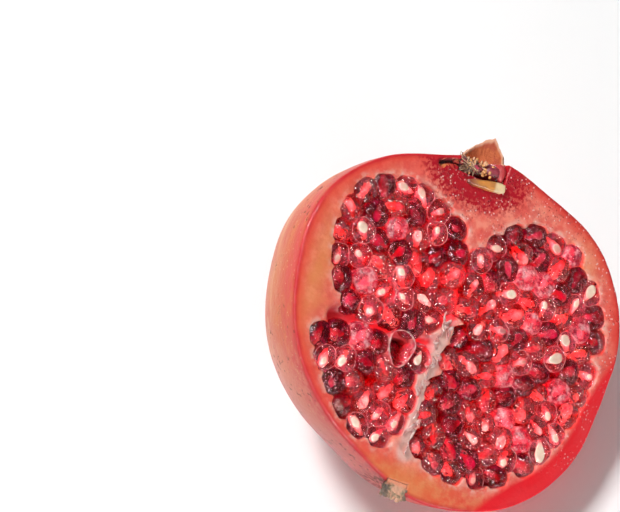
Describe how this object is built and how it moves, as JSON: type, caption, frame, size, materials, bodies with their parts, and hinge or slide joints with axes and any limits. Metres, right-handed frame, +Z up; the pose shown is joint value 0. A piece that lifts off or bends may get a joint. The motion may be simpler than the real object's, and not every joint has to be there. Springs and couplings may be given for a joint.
{
  "type": "pomegranate half",
  "caption": "Half of a ripe pomegranate, cut from crown to stem, lying on its rounded back with its packed arils showing between pale membranes.",
  "frame": {"origin": "centre of the small flat spot on the rounded back, on which the half lies", "axes": "+Z up from the table. The cut face leans back 31.5 degrees from level and looks up and towards -Y, and the crown points towards +X and a little up."},
  "size_m": [0.0898, 0.0916, 0.0695],
  "materials": {
    "rind": "satin waxy skin outside, pale pink pith on the cut",
    "arils": "wet, glossy and see-through",
    "stamens": "dry and rough",
    "style": "dry, satin",
    "stem": "rough bark"
  },
  "bodies": {
    "root": {"rind": "rind", "arils_upper_left": "arils", "arils_lower_left": "arils", "arils_right": "arils", "stamens": "stamens", "style": "style", "stem_stub": "stem"}
  },
  "joints": []
}
